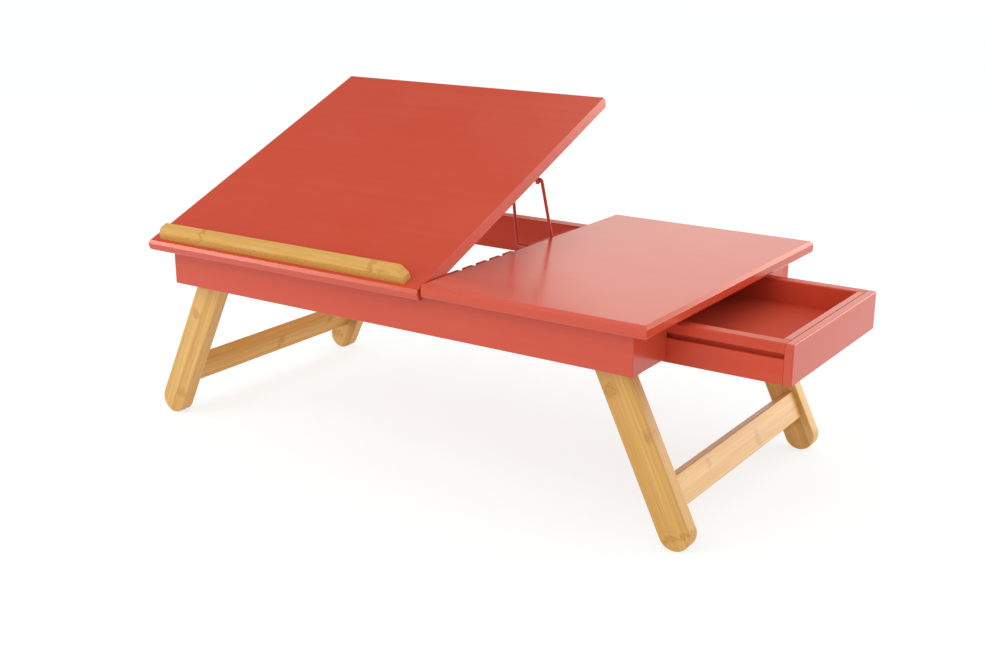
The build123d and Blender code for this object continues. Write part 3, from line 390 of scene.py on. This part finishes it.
# Leg frames: bamboo strips glued edge to edge, planed and clear varnished. Each pair of legs has a
# stretcher doweled between them and turns on the pivots in the rails. Long pale fibres run along each
# strip, strips differ a little in tone, and the cane's joints show as brown bands of specks.
BAMBOO = "#D5A75D"
BAMBOO_PALE = "#E5C07D"
BAMBOO_DARK = "#C5944A"
BAMBOO_BAND = "#B98332"
BAMBOO_SPECK = "#8A5A22"
BAMBOO_FIBRE_LENGTH = 46.0
BAMBOO_FIBRE_WIDTH = 0.55
BAMBOO_STREAK_LENGTH = 130.0
BAMBOO_STREAK_WIDTH = 2.4
BAMBOO_STREAK_SHARE = 0.45
BAMBOO_STRIP_SHARE = 0.2
BAMBOO_MIDDLE = 0.5
BAMBOO_SPECK_LENGTH = 2.6
BAMBOO_SPECK_WIDTH = 0.6
BAMBOO_SPECK_FROM = 0.56
BAMBOO_SPECK_TO = 0.68
BAMBOO_SPECK_SHADE = 0.7
BAMBOO_ROUGHNESS = 0.42
BAMBOO_IOR = 1.5
BAMBOO_RELIEF = 0.02
BAND_WAVER = 3.0
BAND_WAVER_SIZE = 7.0
BAND_TINT = 0.4
BAND_CORE = 0.35
STRIP_JUMP = 3.7


def strip_bamboo(name, along_way, across_way, origin, strip, bands, seed, ior=BAMBOO_IOR,
                 roughness=BAMBOO_ROUGHNESS):
    """Varnished strip bamboo. along_way and across_way are the directions of a piece's length and
    width, and origin is where both start. A band is a joint of the cane, a small darker spot, or painted
    shade on the stop's front face, in mm: its place along, half its height, its middle across and half its
    width."""
    material, tree, shader = new_material(name, BAMBOO, IOR=ior, Roughness=roughness)
    coords = add(tree, "ShaderNodeTexCoord").outputs["Object"]
    turn = Matrix((along_way, across_way, along_way.cross(across_way)))
    local = add(tree, "ShaderNodeMapping",
                {"Vector": coords, "Rotation": turn.to_euler(), "Location": turn @ -origin})
    axes = add(tree, "ShaderNodeSeparateXYZ", {0: local.outputs[0]})
    along = axes.outputs[0]
    across = axes.outputs[1]

    lane = add(tree, "ShaderNodeMath", {0: across, 1: per_mm(strip)}, operation="MULTIPLY")
    lane_number = add(tree, "ShaderNodeMath", {0: lane.outputs[0]}, operation="FLOOR")
    lane_seed = add(tree, "ShaderNodeMath", {0: lane_number.outputs[0], 1: seed}, operation="ADD")
    lane_tone = add(tree, "ShaderNodeTexWhiteNoise", {"W": lane_seed.outputs[0]}, noise_dimensions="1D")
    lane_shift = add(tree, "ShaderNodeMath",
                     {0: lane_seed.outputs[0], 1: STRIP_JUMP}, operation="MULTIPLY")
    shifted = add(tree, "ShaderNodeVectorMath",
                  {0: local.outputs[0], 1: lane_shift.outputs[0]}, operation="ADD")

    fibre_scale = (per_mm(BAMBOO_FIBRE_LENGTH), per_mm(BAMBOO_FIBRE_WIDTH), per_mm(BAMBOO_FIBRE_WIDTH))
    fibre_place = add(tree, "ShaderNodeMapping", {"Vector": shifted.outputs[0], "Scale": fibre_scale})
    fibre = add(tree, "ShaderNodeTexNoise",
                {"Vector": fibre_place.outputs[0], "Scale": 1.0, "Detail": 2.0})
    streak_scale = (per_mm(BAMBOO_STREAK_LENGTH), per_mm(BAMBOO_STREAK_WIDTH), per_mm(BAMBOO_STREAK_WIDTH))
    streak_place = add(tree, "ShaderNodeMapping", {"Vector": shifted.outputs[0], "Scale": streak_scale})
    streak = add(tree, "ShaderNodeTexNoise",
                 {"Vector": streak_place.outputs[0], "Scale": 1.0, "Detail": 3.0})
    mixed = add(tree, "ShaderNodeMix",
                {0: BAMBOO_STREAK_SHARE, 2: fibre.outputs[0], 3: streak.outputs[0]}, data_type="FLOAT")
    toned = add(tree, "ShaderNodeMix",
                {0: BAMBOO_STRIP_SHARE, 2: mixed.outputs[0], 3: lane_tone.outputs[0]}, data_type="FLOAT")
    ramp = add(tree, "ShaderNodeValToRGB", {0: toned.outputs[0]})
    ramp.color_ramp.elements[0].position = NOISE_LOW
    ramp.color_ramp.elements[0].color = linear(BAMBOO_DARK)
    ramp.color_ramp.elements[1].position = NOISE_HIGH
    ramp.color_ramp.elements[1].color = linear(BAMBOO_PALE)
    ramp.color_ramp.elements.new(BAMBOO_MIDDLE).color = linear(BAMBOO)

    waver = add(tree, "ShaderNodeTexNoise",
                {"Vector": local.outputs[0], "Scale": per_mm(BAND_WAVER_SIZE), "Detail": 3.0})
    wander = add(tree, "ShaderNodeMapRange", {
        "Value": waver.outputs[0], "From Min": NOISE_LOW, "From Max": NOISE_HIGH,
        "To Min": -BAND_WAVER * MM, "To Max": BAND_WAVER * MM,
    })
    wavy = add(tree, "ShaderNodeMath", {0: along, 1: wander.outputs[0]}, operation="ADD")
    banding = None
    for place, half_height, middle, half_width in bands:
        off = add(tree, "ShaderNodeMath", {0: wavy.outputs[0], 1: place * MM}, operation="SUBTRACT")
        side = add(tree, "ShaderNodeMath", {0: across, 1: middle * MM}, operation="SUBTRACT")
        near = add(tree, "ShaderNodeMath",
                   {0: off.outputs[0], 1: per_mm(half_height)}, operation="MULTIPLY")
        beside = add(tree, "ShaderNodeMath",
                     {0: side.outputs[0], 1: per_mm(half_width)}, operation="MULTIPLY")
        spot = add(tree, "ShaderNodeCombineXYZ", {0: near.outputs[0], 1: beside.outputs[0]})
        far = add(tree, "ShaderNodeVectorMath", {0: spot.outputs[0]}, operation="LENGTH")
        inside = add(tree, "ShaderNodeMapRange", {
            "Value": far.outputs["Value"], "From Min": BAND_CORE, "From Max": 1.0,
            "To Min": 1.0, "To Max": 0.0,
        }, interpolation_type="SMOOTHSTEP")
        if banding is None:
            banding = inside
        else:
            banding = add(tree, "ShaderNodeMath",
                          {0: banding.outputs[0], 1: inside.outputs[0]}, operation="MAXIMUM")
    speck_scale = (per_mm(BAMBOO_SPECK_LENGTH), per_mm(BAMBOO_SPECK_WIDTH), per_mm(BAMBOO_SPECK_WIDTH))
    speck_place = add(tree, "ShaderNodeMapping", {"Vector": local.outputs[0], "Scale": speck_scale})
    grit = add(tree, "ShaderNodeTexNoise",
               {"Vector": speck_place.outputs[0], "Scale": 1.0, "Detail": 1.0})
    speck = add(tree, "ShaderNodeMapRange", {
        "Value": grit.outputs[0], "From Min": BAMBOO_SPECK_FROM, "From Max": BAMBOO_SPECK_TO,
        "To Min": 0.0, "To Max": BAMBOO_SPECK_SHADE,
    })
    tint = add(tree, "ShaderNodeMath", {0: banding.outputs[0], 1: BAND_TINT}, operation="MULTIPLY")
    banded = add(tree, "ShaderNodeMix",
                 {0: tint.outputs[0], 6: ramp.outputs[0], 7: linear(BAMBOO_BAND)}, data_type="RGBA")
    dots = add(tree, "ShaderNodeMath",
               {0: banding.outputs[0], 1: speck.outputs[0]}, operation="MULTIPLY")
    dotted = add(tree, "ShaderNodeMix",
                 {0: dots.outputs[0], 6: banded.outputs[2], 7: linear(BAMBOO_SPECK)}, data_type="RGBA")
    tree.links.new(dotted.outputs[2], shader.inputs["Base Color"])
    bump = add(tree, "ShaderNodeBump",
               {"Height": mixed.outputs[0], "Strength": 1.0, "Distance": BAMBOO_RELIEF * MM})
    tree.links.new(bump.outputs[0], shader.inputs["Normal"])
    return material


LEG_STRIP = 7.4
STRETCHER_STRIP = 6.6
STRETCHER_DOWN = 121.7
STRETCHER_IOR = {"left_stretcher": 1.2, "right_stretcher": 1.5}
STRETCHER_ROUGHNESS = 0.34
LEG_BANDS = {
    "right_leg_front": [(37, 9, -7, 11), (81, 8, 11, 6), (168, 3, 0, 26)],
    "right_leg_rear": [(60, 8, 6, 8), (121.3, 3, -1.4, 1.3), (150, 7, -4, 12)],
    "left_leg_front": [(58, 7, 5, 8), (152, 7, -8, 9)],
    "left_leg_rear": [(96, 8, -6, 9), (166, 7, 4, 12)],
}
STRETCHER_BANDS = {
    "left_stretcher": [(134, 7, 13, 12), (215, 6, 5, 8)],
    "right_stretcher": [(158, 7, 16, 12), (60, 6, 8, 8)],
}
# The left legs fold until they lie level, a right angle past their splay.
splay = math.radians(joints["left_leg_fold"]["range_deg"][1] - 90)
backwards = Vector((0, 1, 0))
for seed, (piece, bands) in enumerate({**LEG_BANDS, **STRETCHER_BANDS}.items()):
    hand = piece.split("_")[0]
    side = 1 if hand == "right" else -1
    down = Vector((side * math.sin(splay), 0, -math.cos(splay)))
    out = Vector((side * math.cos(splay), 0, math.sin(splay)))
    pivot = Vector(joints[hand + "_leg_fold"]["pos_m"])
    if piece in LEG_BANDS:
        varnished = strip_bamboo("strip_bamboo_" + piece, down, out, pivot, LEG_STRIP, bands, seed)
    else:
        front_end = Vector((0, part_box(piece)[0].y, 0))
        upper_edge = pivot + front_end + down * STRETCHER_DOWN * MM
        varnished = strip_bamboo("strip_bamboo_" + piece, backwards, down, upper_edge, STRETCHER_STRIP,
                                 bands, seed, STRETCHER_IOR[piece], STRETCHER_ROUGHNESS)
    paint(varnished, piece)


# Laptop stop: a bar of the same strip bamboo along the panel's front edge, screwed on from below.
# Its front face is painted darker, as painted shade for light falling from above and behind, and it has
# less varnish than the legs.
STOP_STRIP = 5.2
STOP_SEED = 9
STOP_IOR = 1.22
# Painted shade: a band as long as the stop that darkens its whole front face.
STOP_FRONT_PAINTED_SHADE = (141, 400, -5.4, 0.5)
STOP_BANDS = [(58, 3, 0, 30), (266, 4, 0, 30), (278, 9, -6, 3), STOP_FRONT_PAINTED_SHADE]
rightwards = Vector((1, 0, 0))
stop_start = Vector(joints["tilt_hinge"]["pos_m"])
stop_start.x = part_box("laptop_stop")[0].x
paint(strip_bamboo("strip_bamboo_stop", rightwards, panel_out.cross(rightwards), stop_start, STOP_STRIP,
                   STOP_BANDS, STOP_SEED, STOP_IOR),
      "laptop_stop")


# Studio: a white paper sweep in an even white room, whose ceiling and left wall look greyer in what the
# table mirrors. A broad soft light stands in front and above, a smaller one on the front left for the
# rounded edges, and two lit screens behind for the fixed top and the right-hand faces to mirror.
FLOOR_SIZE = 12.0
FLOOR_BOUNCE = "#E7E7E7"
FLOOR_SHADE = "#97A3A5"
FLOOR_FILL = 0.72
ROOM_LIGHT = 0.85
# Heights, and sideways parts, of the directions where the ceiling and the left wall start and are grey.
CEILING_LIGHT = 0.6
CEILING_FROM = 0.3
CEILING_TO = 0.65
LEFT_WALL_LIGHT = 0.3
LEFT_WALL_FROM = -0.49
LEFT_WALL_TO = -0.54
WHITE = "#FFFFFF"
WARM_WALL = "#FFFBF4"
WARM_LAMP = "#FFF5E8"

floor_mesh = bpy.data.meshes.new("studio_floor")
floor_builder = bmesh.new()
bmesh.ops.create_grid(floor_builder, x_segments=1, y_segments=1, size=FLOOR_SIZE / 2)
floor_builder.to_mesh(floor_mesh)
floor_builder.free()
floor = bpy.data.objects.new("studio_floor", floor_mesh)
bpy.context.scene.collection.objects.link(floor)
sweep = bpy.data.materials.new("white_paper_sweep")
sweep.use_nodes = True
sweep_tree = sweep.node_tree
sweep_tree.nodes.clear()
floor_rays = add(sweep_tree, "ShaderNodeLightPath").outputs
mirrored_floor = add(sweep_tree, "ShaderNodeMath",
                     {0: floor_rays["Is Glossy Ray"], 1: floor_rays["Is Transmission Ray"]},
                     operation="MAXIMUM")
seen_floor = add(sweep_tree, "ShaderNodeMath",
                 {0: floor_rays["Is Camera Ray"], 1: mirrored_floor.outputs[0]}, operation="MAXIMUM")
paper = add(sweep_tree, "ShaderNodeBsdfDiffuse", {"Color": linear(FLOOR_BOUNCE)})
shaded = add(sweep_tree, "ShaderNodeBsdfDiffuse", {"Color": linear(FLOOR_SHADE)})
glow = add(sweep_tree, "ShaderNodeEmission", {"Color": linear(WHITE), "Strength": FLOOR_FILL})
backdrop = add(sweep_tree, "ShaderNodeAddShader", {0: shaded.outputs[0], 1: glow.outputs[0]})
either = add(sweep_tree, "ShaderNodeMixShader",
             {0: seen_floor.outputs[0], 1: paper.outputs[0], 2: backdrop.outputs[0]})
add(sweep_tree, "ShaderNodeOutputMaterial", {"Surface": either.outputs[0]})
floor_mesh.materials.append(sweep)

room = bpy.data.worlds.new("white_room")
bpy.context.scene.world = room
room.use_nodes = True
room_tree = room.node_tree
room_tree.nodes.clear()
room_rays = add(room_tree, "ShaderNodeLightPath").outputs
direction = add(room_tree, "ShaderNodeTexCoord").outputs["Generated"]
direction_axes = add(room_tree, "ShaderNodeSeparateXYZ", {0: direction}).outputs
ceiling = add(room_tree, "ShaderNodeMapRange", {
    "Value": direction_axes[2], "From Min": CEILING_FROM, "From Max": CEILING_TO,
    "To Min": 1.0, "To Max": CEILING_LIGHT,
}, interpolation_type="SMOOTHSTEP")
left_wall = add(room_tree, "ShaderNodeMapRange", {
    "Value": direction_axes[0], "From Min": LEFT_WALL_TO, "From Max": LEFT_WALL_FROM,
    "To Min": LEFT_WALL_LIGHT, "To Max": 1.0,
}, interpolation_type="SMOOTHSTEP")
mirrored_room = add(room_tree, "ShaderNodeMath",
                    {0: ceiling.outputs[0], 1: left_wall.outputs[0]}, operation="MULTIPLY")
lit_room = add(room_tree, "ShaderNodeMapRange", {
    "Value": room_rays["Is Glossy Ray"], "To Min": ROOM_LIGHT, "To Max": mirrored_room.outputs[0],
})
seen_room = add(room_tree, "ShaderNodeMath",
                {0: room_rays["Is Camera Ray"], 1: room_rays["Is Transmission Ray"]},
                operation="MAXIMUM")
room_level = add(room_tree, "ShaderNodeMapRange",
                 {"Value": seen_room.outputs[0], "To Min": lit_room.outputs[0], "To Max": 1.0})
room_tone = add(room_tree, "ShaderNodeMix",
                {0: seen_room.outputs[0], 6: linear(WARM_WALL), 7: linear(WHITE)}, data_type="RGBA")
walls = add(room_tree, "ShaderNodeBackground",
            {"Color": room_tone.outputs[2], "Strength": room_level.outputs[0]})
add(room_tree, "ShaderNodeOutputWorld", {"Surface": walls.outputs[0]})


def softbox(name, place, target, width, height, power):
    """A rectangular studio light that faces a point and stays out of the picture."""
    lamp = bpy.data.lights.new(name, "AREA")
    lamp.shape = "RECTANGLE"
    lamp.size = width
    lamp.size_y = height
    lamp.energy = power
    lamp.color = linear(WARM_LAMP)[:3]
    box = bpy.data.objects.new(name, lamp)
    box.location = place
    box.rotation_euler = (Vector(target) - Vector(place)).to_track_quat("-Z", "Y").to_euler()
    box.visible_camera = False
    bpy.context.scene.collection.objects.link(box)


softbox("front_softbox", place=(-0.4, -1.8, 1.7), target=(0.0, 0.0, 0.15),
        width=2.4, height=1.6, power=13.6)
softbox("left_softbox", place=(-1.5, -1.58, 0.52), target=(-0.1, -0.1, 0.17),
        width=0.8, height=0.3, power=6.0)
softbox("back_screen", place=(-0.3, 2.1, 0.75), target=(0.0, 0.0, 0.2),
        width=1.8, height=1.1, power=2.2)
softbox("right_screen", place=(1.35, 1.75, 0.5), target=(0.3, 0.0, 0.1),
        width=1.8, height=1.0, power=19.0)


# Camera: stands where the photograph was taken from, in front and to the right of the table.
# Its place in mm and its focal length come from fitting the table's corners to the picture.
CAMERA_PLACE = (733.136, -1059.954, 501.281)
CAMERA_AZIMUTH = 33.9641
CAMERA_ELEVATION = 17.1362
CAMERA_ROLL = 0.0964
CAMERA_FOCAL_PIXELS = 1354.51
PHOTO_WIDTH = 990.0
SENSOR_WIDTH = 36.0
lens = bpy.data.cameras.new("camera")
lens.sensor_width = SENSOR_WIDTH
lens.lens = CAMERA_FOCAL_PIXELS / PHOTO_WIDTH * SENSOR_WIDTH
camera = bpy.data.objects.new("camera", lens)
aim = Euler((math.radians(90 - CAMERA_ELEVATION), 0, math.radians(CAMERA_AZIMUTH)))
roll = Matrix.Rotation(math.radians(CAMERA_ROLL), 3, "Z")
camera.rotation_euler = (aim.to_matrix() @ roll).to_euler()
camera.location = Vector(CAMERA_PLACE) * MM
bpy.context.scene.collection.objects.link(camera)
bpy.context.scene.camera = camera
bpy.context.scene.view_settings.view_transform = "Standard"
